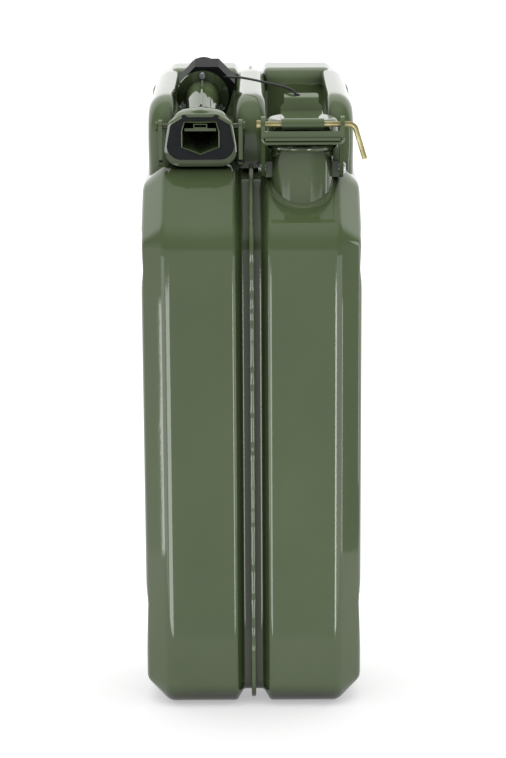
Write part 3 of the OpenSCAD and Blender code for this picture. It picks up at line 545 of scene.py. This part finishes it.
def bead_lumps(points):
    """Height of the bead along the seam, with larger lumps where the shoulder meets the deck."""
    step = np.linalg.norm(np.diff(points, axis=0, append=points[:1]), axis=1)
    along = np.cumsum(step)
    ripple = RIPPLE * np.sin(along / RIPPLE_WAVES[0]) * np.sin(along / RIPPLE_WAVES[1] + RIPPLE_SHIFT)
    lumps = LUMP * np.maximum(0, np.sin(along / LUMP_WAVE)) ** LUMP_POWER
    near = 1 - smooth_step(0, CRUMPLE_REACH, np.linalg.norm(points - CRUMPLE, axis=1))
    crumple = CRUMPLE_RISE * np.maximum(0, np.sin(along / CRUMPLE_WAVE + CRUMPLE_SHIFT)) ** 2
    return BEAD_RISE * (BEAD_LEVEL + ripple + lumps) + near * crumple


def bead_mesh():
    """Half-round bead along the flanges, as high as its lumps."""
    base = outline(FLANGE_DROP, BEAD_SPACING)
    outward = base - outline(FLANGE_DROP + 1, BEAD_SPACING)
    rise = bead_lumps(base)[:, None]
    points = []
    profile = [math.radians(a) for a in np.linspace(-90, 90, BEAD_STEPS)]
    for a in profile:
        ring = base + outward * rise * math.cos(a)
        points.append(np.column_stack((np.full(len(ring), BEAD_WIDTH / 2 * math.sin(a)), ring)))
    return new_object("seam_bead", np.vstack(points), ring_faces(len(profile), len(base)), BEAD_SHARP)


put_on(bead_mesh(), "green_paint", "can", "seam_weld")


# Weld round the neck's foot, drawn as a hollow fillet between the neck and the shoulder
weld_low, weld_high = (np.array(corner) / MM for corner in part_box("neck_weld"))
WELD_RADIUS = (weld_high[0] - weld_low[0]) / 2
WELD_WIDTH = 3.2
WELD_RISE = 2.2
WELD_SIDES = 120
WELD_STEPS = 8
WELD_SHARP = 60
TOP_SPACING = 1.0
TOP_LOWEST = SHOULDER - 60
TOP_FURTHEST = CHAMBER - 20


def fillet_mesh():
    """Ring round the neck whose face curves from the neck's wall to the top of the can."""
    top = outline(0, TOP_SPACING)
    top = top[(top[:, 1] > TOP_LOWEST) & (top[:, 0] < TOP_FURTHEST)]
    top = top[np.argsort(top[:, 0])]
    turn = np.linspace(0, 2 * math.pi, WELD_SIDES, endpoint=False)
    profile = [(WELD_RADIUS - WELD_WIDTH * math.cos(a), WELD_RISE * (1 - math.sin(a)))
               for a in np.linspace(math.pi / 2, 0, WELD_STEPS)]
    points = []
    for reach, rise in profile + [(WELD_RADIUS - WELD_WIDTH, 0)]:
        x, y = NECK[0] + reach * np.cos(turn), NECK[1] + reach * np.sin(turn)
        points.append(np.column_stack((x, y, np.interp(y, top[:, 0], top[:, 1]) + rise)))
    return new_object("neck_fillet", np.vstack(points), loop_faces(len(points), WELD_SIDES), WELD_SHARP)


put_on(fillet_mesh(), "green_paint", "can", "neck_weld")


# Tie cord: the route of the solid, in metres
CORD_ROUTE = np.array([
    (-0.0215, -0.0142, 0.4762), (-0.020, -0.020, 0.477), (-0.017, -0.027, 0.4778),
    (-0.013, -0.034, 0.4785), (-0.008, -0.041, 0.479), (-0.002, -0.050, 0.479),
    (0.004, -0.058, 0.4787), (0.010, -0.0665, 0.4783), (0.016, -0.0743, 0.4778),
    (0.022, -0.081, 0.4771), (0.0274, -0.0867, 0.4762), (0.0316, -0.091, 0.4749),
    (0.0344, -0.0938, 0.4729), (0.0356, -0.0948, 0.4704), (0.0361, -0.095, 0.4679),
    (0.0364, -0.0951, 0.4657), (0.0365, -0.095, 0.4636), (0.0365, -0.0948, 0.4616),
])
CORD_DIAMETER = 0.0019
CORD_CUTS = (0, 0.36, 0.68, 1)
TUBE_SIDES = 12
TUBE_SHARP = 60


def smooth_route(points, parts=6):
    """Curve through the points, with each stretch divided in parts."""
    ends = np.vstack((2 * points[0] - points[1], points, 2 * points[-1] - points[-2]))
    curve = []
    for a, b, c, d in zip(ends, ends[1:], ends[2:], ends[3:]):
        for t in np.arange(parts) / parts:
            curve.append(0.5 * (2 * b + (c - a) * t + (2 * a - 5 * b + 4 * c - d) * t ** 2
                                + (3 * b - a - 3 * c + d) * t ** 3))
    return np.array(curve + [points[-1]])


def tube_mesh(name, route, radius, sides=TUBE_SIDES):
    """Round tube along a route in metres, with its ends closed."""
    up = np.array((0.0, 0.0, 1.0))
    turn = np.linspace(0, 2 * math.pi, sides, endpoint=False)
    points = []
    for place, direction in zip(route, np.gradient(route, axis=0)):
        direction = unit(direction)
        up = unit(up - direction * (up @ direction))
        across = np.cross(direction, up)
        points.extend(place + radius * (math.cos(a) * up + math.sin(a) * across) for a in turn)
    count = len(route)
    faces = ring_faces(count, sides)
    faces += [tuple(range(sides - 1, -1, -1)), tuple(range((count - 1) * sides, count * sides))]
    return new_object(name, np.array(points) / MM, faces, TUBE_SHARP)


KNOT_CENTRE = np.array((0.0365, -0.0949, 0.4643))
KNOT_RING = 0.0015
KNOT_TURN = 0.00085
KNOT_STEPS = 90


def knot_mesh(name, radius):
    """Overhand knot drawn tight: a tube that winds three times round a ring while it goes twice about it."""
    turn = np.linspace(0, 2 * math.pi, TUBE_SIDES, endpoint=False)
    up = np.array((0, 0, 1))
    points = []
    for t in np.linspace(0, 2 * math.pi, KNOT_STEPS, endpoint=False):
        about = np.array((math.cos(2 * t), math.sin(2 * t), 0))
        onward = np.array((-about[1], about[0], 0))
        out = math.cos(3 * t) * about - math.sin(3 * t) * up
        reach = KNOT_RING + KNOT_TURN * math.cos(3 * t)
        direction = unit(2 * reach * onward
                         - 3 * KNOT_TURN * (math.sin(3 * t) * about + math.cos(3 * t) * up))
        place = KNOT_CENTRE + KNOT_RING * about + KNOT_TURN * out
        across = np.cross(direction, out)
        points.extend(place + radius * (math.cos(a) * out + math.sin(a) * across) for a in turn)
    return new_object(name, np.array(points) / MM, loop_faces(KNOT_STEPS, TUBE_SIDES), TUBE_SHARP)


def lay_cord():
    """Three lengths, from the spout to the can, to the bail and to the cap, and the knot under the tab."""
    curve = smooth_route(CORD_ROUTE)
    along = np.concatenate(((0,), np.cumsum(np.linalg.norm(np.diff(curve, axis=0), axis=1))))
    cuts = np.searchsorted(along, along[-1] * np.array(CORD_CUTS))
    knot = dress(knot_mesh("tie_knot", CORD_DIAMETER / 2), "black_cord")
    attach(knot, "cap")
    joins = (("spout", "can", "object", ()), ("can", "bail", "object", ()), ("bail", "cap", "knot", (knot,)))
    for letter, (start, end, far_end, fitted), first, last in zip("abc", joins, cuts, cuts[1:]):
        route = curve[first:min(last, len(curve) - 1) + 1]
        piece = dress(tube_mesh("tie_cord_" + letter, route, CORD_DIAMETER / 2), "black_cord")
        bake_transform(piece)
        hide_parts("tie_cord")


lay_cord()


# Spout's mouth in the spout's own frame, in millimetres: the mouth at the origin, the axis along +Y
SPOUT = np.array((-38.5, FRONT + 53, DECK + 20.8))
SPOUT_TILT = math.radians(10)
TUBE_RADIUS = 13.5
TUBE_BORE = 12
COLLAR_LENGTH = 40
SWELL_START = COLLAR_LENGTH - 2
SWELL_STEPS = 14
DOME_AT = 10
DOME_OVERHANG = 3
HOOD_AT = (7, 5)
CHIN = 3.4
LIP_GROW = 2.5
SEAT_GAP = 0.1
SHEET_EDGE = 0.9
BORE_END = COLLAR_LENGTH - 4
BORE_STEPS = 6
GASKET_DEPTH = 3
GASKET_PROUD = 0.6
GASKET_GAP = 0.05
EAR_ANGLES = np.radians((55, 125))
EAR_SPREAD = np.radians((3, 5.5))
EAR_RISE = 2.4
EAR_BACK = -0.02
RING_ANGLES = np.linspace(0, 2 * math.pi, 240, endpoint=False)
RING_SHARP = 35
RING_MERGE = 1e-7
HULL_STEPS = 720
LEAST_FACING = 0.05

# Outlines drawn tight round circles: x, z and radius, on the right side only
MOUTH = ((14.7, -6.2, 10.8), (19.4, 8.4, 3.4), (11, 12.7, 4))
OPENING = ((12.5, 13.6, 0), (14.7, 5.5, 0), (14.7, -7, 0), (0, -13, 0))
DOME = ((12.3, -9.9, 13), (10, 6.6, 13), (0, 6.2, 14.8))

# Edges of the lip and of the opening's sheet: growth of the outline and place along the axis
LIP_PROFILE = ((0, 3.4), (0, 0.7), (-0.2, 0.2), (-0.7, 0))
SHEET_PROFILE = ((0, GASKET_DEPTH), (0, -1.0), (-0.4, -1.2), (-SHEET_EDGE, -1.0),
                 (-SHEET_EDGE, GASKET_DEPTH))

# Rounding of the gasket's inner and outer front edges: across the axis and along it
GASKET_EDGES = ((0.3, 0.2), (0.4, 0.3))


def hull_reach(circles):
    """Distance from the axis to the outline round circles and their mirror images, at each ring angle."""
    normals = np.linspace(0, 2 * math.pi, HULL_STEPS, endpoint=False)
    support = np.max([side * x * np.cos(normals) + z * np.sin(normals) + r
                      for x, z, r in circles for side in (-1, 1)], axis=0)
    facing = np.cos(normals[None, :] - RING_ANGLES[:, None])
    reach = support / np.maximum(facing, LEAST_FACING)
    return np.where(facing > LEAST_FACING, reach, np.inf).min(axis=1)


def mouth_reach(grow, chin):
    """Outline of the mouth grown on all sides, with its lower corners moved down by the chin."""
    return hull_reach([(x, z - (chin if z < 0 else 0), r + grow) for x, z, r in MOUTH])


def spout_ring(reach, y):
    """Ring of points across the spout's axis, in the can's frame."""
    x, z = reach * np.cos(RING_ANGLES), reach * np.sin(RING_ANGLES)
    return SPOUT + np.column_stack((x, y * math.cos(SPOUT_TILT) - z * math.sin(SPOUT_TILT),
                                    y * math.sin(SPOUT_TILT) + z * math.cos(SPOUT_TILT)))


def ring_solid(name, rings):
    """Closed skin through rings of (reach, place), from the first round to the first again."""
    points = [spout_ring(np.broadcast_to(reach, RING_ANGLES.shape), y) for reach, y in rings]
    points.append(points[0])
    piece = new_object(name, np.vstack(points), ring_faces(len(points), len(RING_ANGLES)), RING_SHARP)
    bm = bmesh.new()
    bm.from_mesh(piece.data)
    bmesh.ops.remove_doubles(bm, verts=bm.verts, dist=RING_MERGE)
    bmesh.ops.recalc_face_normals(bm, faces=bm.faces)
    bm.to_mesh(piece.data)
    bm.free()
    piece.data.shade_smooth()
    piece.data.set_sharp_from_angle(angle=math.radians(RING_SHARP))
    return piece


def collar_piece():
    """Collar that swells from the tube to a domed hood behind the mouth, with the opening's sheet edge."""
    opening = hull_reach(OPENING)
    edge = opening - SHEET_EDGE
    lip = mouth_reach(LIP_GROW, CHIN)
    seat = mouth_reach(SEAT_GAP, 0)
    dome = np.minimum(hull_reach(DOME), lip + DOME_OVERHANG)
    hood = np.maximum(dome, lip)
    rings = [(TUBE_BORE, COLLAR_LENGTH), (TUBE_RADIUS, COLLAR_LENGTH)]
    for y in np.linspace(SWELL_START, DOME_AT, SWELL_STEPS):
        share = smooth_step(DOME_AT, COLLAR_LENGTH, y)
        rings.append((dome * (1 - share) + TUBE_RADIUS * share, y))
    rings += [((hood + dome) / 2, HOOD_AT[0]), (hood, HOOD_AT[1])]
    rings += [(lip + grow, y) for grow, y in LIP_PROFILE]
    rings += [(seat, 0), (seat, GASKET_DEPTH)]
    rings += [(opening + grow, y) for grow, y in SHEET_PROFILE]
    for y in np.linspace(GASKET_DEPTH, BORE_END, BORE_STEPS)[1:]:
        share = (y - GASKET_DEPTH) / (BORE_END - GASKET_DEPTH)
        rings.append((edge * (1 - share) + TUBE_BORE * share, y))
    return ring_solid("spout_collar_domed", rings)


def gasket_piece():
    """Flat gasket in the collar's seat, with two ears over the collar's upper edge."""
    opening = hull_reach(OPENING) + GASKET_GAP
    outer = mouth_reach(0, 0)
    away = np.abs(RING_ANGLES[:, None] - EAR_ANGLES[None, :]).min(axis=1)
    ears = outer + EAR_RISE * (1 - smooth_step(*EAR_SPREAD, away))
    front = -GASKET_PROUD
    (inner_across, inner_along), (outer_across, outer_along) = GASKET_EDGES
    rings = [(opening, GASKET_DEPTH), (opening, front + inner_along), (opening + inner_across, front)]
    rings += [(ears - outer_across, front), (ears, front + outer_along), (ears, EAR_BACK)]
    rings += [(outer, EAR_BACK), (outer, GASKET_DEPTH)]
    return ring_solid("spout_gasket_eared", rings)


# Spring on the outlet, drawn at one length
SPRING_SPAN = (135.3, 169.3)
SPRING_RADIUS = 10.5
SPRING_WIRE = 0.7
SPRING_TURNS = 7
SPRING_STEPS = 32
SPRING_SIDES = 10
SPOUT_AXIS = np.array((0, math.cos(SPOUT_TILT), math.sin(SPOUT_TILT)))


def lay_spring():
    """Coil round the outlet, on the spout."""
    turn = np.linspace(0, 2 * math.pi * SPRING_TURNS, SPRING_TURNS * SPRING_STEPS + 1)
    x, z = SPRING_RADIUS * np.cos(turn), SPRING_RADIUS * np.sin(turn)
    along = np.linspace(*SPRING_SPAN, len(turn))
    upright = np.array((0, -math.sin(SPOUT_TILT), math.cos(SPOUT_TILT)))
    route = SPOUT + np.outer(x, (1, 0, 0)) + np.outer(along, SPOUT_AXIS) + np.outer(z, upright)
    spring = tube_mesh("sleeve_spring_coil", route * MM, SPRING_WIRE * MM, SPRING_SIDES)
    put_on(spring, "bright_steel", "spout", "sleeve_spring")
    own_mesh(spring)


lay_spring()
put_on(collar_piece(), "green_paint", "spout", "spout_collar")
put_on(gasket_piece(), "black_rubber", "spout", "spout_gasket")


# Every solid that stays takes its material and softly rounded edges
SHOWN_BY_SCENE = ("left_shell", "right_shell", "left_bar", "centre_bar", "right_bar", "seam_weld",
                  "neck_weld", "tie_cord", "spout_collar", "spout_gasket", "sleeve_spring")
BEVEL_WIDTHS = {"green_paint": 0.5, "black_rubber": 0.4, "black_housing": 0.6, "yellow_zinc": 0.25,
                "bright_steel": 0.2}
BEVEL_SEGMENTS = 2
BEVEL_ANGLE = 35
for entry in frame["record"]["subparts"]:
    if entry["node"] in SHOWN_BY_SCENE:
        continue
    node = frame["nodes"][entry["node"]]
    slot = entry["material_slot"]
    for material_slot in node.material_slots:
        material_slot.material = MATERIALS[slot]
    if slot in BEVEL_WIDTHS:
        bevel = node.modifiers.new("edges", "BEVEL")
        bevel.width = BEVEL_WIDTHS[slot] * MM
        bevel.segments = BEVEL_SEGMENTS
        bevel.limit_method = "ANGLE"
        bevel.angle_limit = math.radians(BEVEL_ANGLE)
        bevel.use_clamp_overlap = True
        bevel.harden_normals = True


# Floor, light and camera
def combine(nodes, links, operation, first, second):
    """Sum, product or larger one of two values."""
    both = nodes.new("ShaderNodeMath")
    both.operation = operation
    links.new(first, both.inputs[0])
    links.new(second, both.inputs[1])
    return both.outputs["Value"]


def seen_directly(nodes, links):
    """One for rays from the camera, or from a shiny or clear surface, and nothing for the others."""
    path = nodes.new("ShaderNodeLightPath")
    total = path.outputs["Is Camera Ray"]
    for name in ("Is Glossy Ray", "Is Transmission Ray"):
        total = combine(nodes, links, "MAXIMUM", total, path.outputs[name])
    return total


def smooth_range(nodes, links, source, span, values):
    """Smooth change from the first value to the second while the source goes over its span."""
    change = nodes.new("ShaderNodeMapRange")
    change.interpolation_type = "SMOOTHSTEP"
    for name, value in zip(("From Min", "From Max", "To Min", "To Max"), (*span, *values)):
        change.inputs[name].default_value = value
    links.new(source, change.inputs["Value"])
    return change.outputs["Result"]


TABLE = ((-0.45, -0.34, 0), (0.45, -0.34, 0), (1.8, 12, 0), (-1.8, 12, 0))
TABLE_COLOUR = (0.94, 0.94, 0.94, 1)
TABLE_ROUGHNESS = 0.7
TABLE_SHINE = 0.1

# Share of the table's own glow that the camera and reflections see, which grows from front to back
GLOW_SHARE = ((-0.2, 0.1), (0.25, 0.97))
GLOW_STRENGTH = 1.3


def white_table():
    """White sheet under and behind the can, which ends in front of it, below the picture."""
    mesh = bpy.data.meshes.new("table")
    mesh.from_pydata(TABLE, [], [(0, 1, 2, 3)])
    table = bpy.data.objects.new("table", mesh)
    bpy.context.collection.objects.link(table)
    material, nodes, links, shader = new_material("table")
    shader.inputs["Base Color"].default_value = TABLE_COLOUR
    shader.inputs["Roughness"].default_value = TABLE_ROUGHNESS
    shader.inputs["Specular IOR Level"].default_value = TABLE_SHINE
    coords = nodes.new("ShaderNodeTexCoord")
    split = nodes.new("ShaderNodeSeparateXYZ")
    links.new(coords.outputs["Object"], split.inputs["Vector"])
    share = smooth_range(nodes, links, split.outputs["Y"], *GLOW_SHARE)
    glow = nodes.new("ShaderNodeEmission")
    glow.inputs["Strength"].default_value = GLOW_STRENGTH
    mix = nodes.new("ShaderNodeMixShader")
    seen_share = combine(nodes, links, "MULTIPLY", seen_directly(nodes, links), share)
    links.new(seen_share, mix.inputs["Fac"])
    links.new(shader.outputs["BSDF"], mix.inputs[1])
    links.new(glow.outputs["Emission"], mix.inputs[2])
    links.new(mix.outputs["Shader"], nodes["Material Output"].inputs["Surface"])
    mesh.materials.append(material)


# Light that shiny surfaces see: span of the direction along x, y or z, and the levels at its ends
RIGHT_LIGHT = ((0.3, 0.9), (1, 0.45))
LOW_LIGHT = ((-0.02, 0.3), (0.95, 0.3))
BEHIND_LIGHT = ((0.15, 0.55), (0, 1.3))
ABOVE_LIGHT = ((0.6, 1.0), (0, 0.5))
AMBIENT = 0.95


def white_world():
    """White to the camera and even for dull surfaces; shiny ones see it brightest behind the can."""
    world = bpy.data.worlds.new("studio")
    bpy.context.scene.world = world
    world.use_nodes = True
    nodes, links = world.node_tree.nodes, world.node_tree.links
    background = nodes["Background"]
    background.inputs["Color"].default_value = (1, 1, 1, 1)
    coords = nodes.new("ShaderNodeTexCoord")
    split = nodes.new("ShaderNodeSeparateXYZ")
    links.new(coords.outputs["Generated"], split.inputs["Vector"])
    right = smooth_range(nodes, links, split.outputs["X"], *RIGHT_LIGHT)
    low = smooth_range(nodes, links, split.outputs["Z"], *LOW_LIGHT)
    behind = smooth_range(nodes, links, split.outputs["Y"], *BEHIND_LIGHT)
    above = smooth_range(nodes, links, split.outputs["Z"], *ABOVE_LIGHT)
    front = combine(nodes, links, "MULTIPLY", right, low)
    around = combine(nodes, links, "MAXIMUM", front, behind)
    level = nodes.new("ShaderNodeMix")
    level.data_type = "FLOAT"
    level.inputs["A"].default_value = AMBIENT
    links.new(seen_directly(nodes, links), level.inputs["Factor"])
    links.new(combine(nodes, links, "ADD", around, above), level.inputs["B"])
    to_camera = nodes.new("ShaderNodeLightPath").outputs["Is Camera Ray"]
    strength = combine(nodes, links, "MAXIMUM", level.outputs["Result"], to_camera)
    links.new(strength, background.inputs["Strength"])


def soft_box(name, place, target, size, power, mirrored):
    """Area lamp that is only seen mirrored in shiny surfaces, or else only lights dull ones."""
    light = bpy.data.lights.new(name, "AREA")
    light.shape = "RECTANGLE"
    light.size, light.size_y = size
    light.energy = power
    lamp = bpy.data.objects.new(name, light)
    lamp.visible_camera = False
    lamp.visible_glossy = mirrored
    lamp.visible_diffuse = not mirrored
    lamp.location = place
    lamp.rotation_euler = (Vector(target) - Vector(place)).to_track_quat("-Z", "Y").to_euler()
    bpy.context.collection.objects.link(lamp)


# Soft boxes: name, place, target, size, power, and whether it is seen mirrored
LAMPS = (
    ("overhead", (0, -0.2, 2.2), (0, 0, 0.3), (2.4, 2.4), 18, False),
    ("low_left", (-0.76, -1.8, -0.33), (0, -0.17, -0.33), (1.0, 0.62), 10.5, True),
    ("low_right", (0.75, -1.8, -0.33), (0, -0.17, -0.33), (0.4, 0.62), 6.7, True),
    ("left_wall", (-1.4, -0.85, -0.2), (0, -0.17, -0.2), (0.92, 0.7), 3.1, True),
    ("right_wall", (1.3, -1.03, -0.2), (0, -0.17, -0.2), (1.4, 0.7), 4.0, True),
    ("left_strip", (-1.15, -0.25, -0.2), (0, -0.17, -0.2), (0.16, 0.6), 1.7, True),
    ("right_edge", (1.15, -0.27, -0.2), (0, -0.17, -0.2), (0.12, 0.6), 1.0, True),
    ("right_strip", (1.2, 0.1, 0.25), (0, -0.1, 0.25), (0.2, 0.8), 1.2, True),
)

# Camera fitted to the photograph
IMAGE = (506, 758)
SENSOR_HEIGHT = 36
FOCAL_PIXELS = 2475
CAMERA_PLACE = (0, -2.0, 0.704)
CAMERA_PITCH = 13.5
CAMERA_ROLL = -0.33
OPTICAL_CENTRE = (252.2, 379)


def add_camera():
    data = bpy.data.cameras.new("camera")
    data.sensor_fit = "VERTICAL"
    data.sensor_height = SENSOR_HEIGHT
    data.lens = FOCAL_PIXELS / IMAGE[1] * SENSOR_HEIGHT
    data.shift_x = (IMAGE[0] / 2 - OPTICAL_CENTRE[0]) / IMAGE[1]
    data.shift_y = (OPTICAL_CENTRE[1] - IMAGE[1] / 2) / IMAGE[1]
    camera = bpy.data.objects.new("camera", data)
    camera.location = CAMERA_PLACE
    tilt = Euler((math.radians(90 - CAMERA_PITCH), 0, 0)).to_matrix()
    roll = Euler((0, 0, math.radians(CAMERA_ROLL))).to_matrix()
    camera.rotation_euler = (tilt @ roll).to_euler()
    bpy.context.collection.objects.link(camera)
    bpy.context.scene.camera = camera


white_table()
white_world()
for lamp in LAMPS:
    soft_box(*lamp)
add_camera()
bpy.context.scene.view_settings.view_transform = "Standard"
